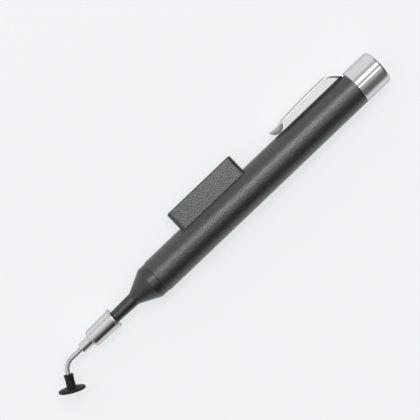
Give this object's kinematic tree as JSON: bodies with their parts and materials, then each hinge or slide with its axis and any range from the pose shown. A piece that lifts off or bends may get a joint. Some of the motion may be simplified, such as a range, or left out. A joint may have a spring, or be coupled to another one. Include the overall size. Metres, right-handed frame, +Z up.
{
  "type": "vacuum pick up pen",
  "caption": "Pen-shaped hand tool with a side push button, a pocket clip, a bright end cap and a bent needle with a small suction cup for lifting light parts.",
  "frame": {"origin": "centre of the cap's flat end, on the barrel's axis", "axes": "+X along the barrel's axis out of the cap, the tip towards -X, +Z up as the pen lies on a table"},
  "size_m": [0.1582, 0.0241, 0.013],
  "materials": {
    "grained_plastic": "moulded black plastic with a fine grain",
    "satin_plastic": "smooth satin black plastic",
    "plated_cap": "bright chrome plating",
    "plated_clip": "bright plated spring sheet",
    "plated_hub": "nickel plated, turned",
    "steel_tube": "drawn stainless tube",
    "black_rubber": "soft black rubber",
    "clear_silicone": "soft milky silicone",
    "inner_plastic": "plain moulded plastic",
    "inner_metal": "plain thin metal ring"
  },
  "bodies": {
    "pen_body": {"barrel": "grained_plastic", "nose_cone": "satin_plastic", "end_cap": "plated_cap", "cap_core": "inner_plastic", "squeeze_tube": "clear_silicone", "tube_plug": "inner_plastic", "front_clamp_ring": "inner_metal", "rear_clamp_ring": "inner_metal", "tube_cradle": "inner_plastic"},
    "button": {"push_button": "grained_plastic"},
    "clip": {"pocket_clip": "plated_clip"},
    "needle": {"needle_hub": "plated_hub", "needle_tube": "steel_tube"},
    "cup": {"suction_cup": "black_rubber"}
  },
  "joints": [
    {"name": "button_press", "type": "slide", "parent": "pen_body", "child": "button", "axis": [0, -0.9687, 0.2484], "range_m": [0, 0.0035], "stiffness_N_per_m": 1500, "deforming": ["squeeze_tube"]},
    {"name": "clip_flex", "type": "hinge", "parent": "pen_body", "child": "clip", "pos_m": [-0.0118, 0.00329, -0.00084], "axis": [0, -0.2484, -0.9687], "range_deg": [0, 3.5], "stiffness_Nm_per_rad": 1.2},
    {"name": "needle_turn", "type": "hinge", "parent": "pen_body", "child": "needle", "pos_m": [-0.12598, 0, 0], "axis": [1, 0, 0], "continuous": true},
    {"name": "cup_pull", "type": "slide", "parent": "needle", "child": "cup", "axis": [-0.5, -0.8544, 0.1412], "range_m": [0, 0.0046]}
  ]
}
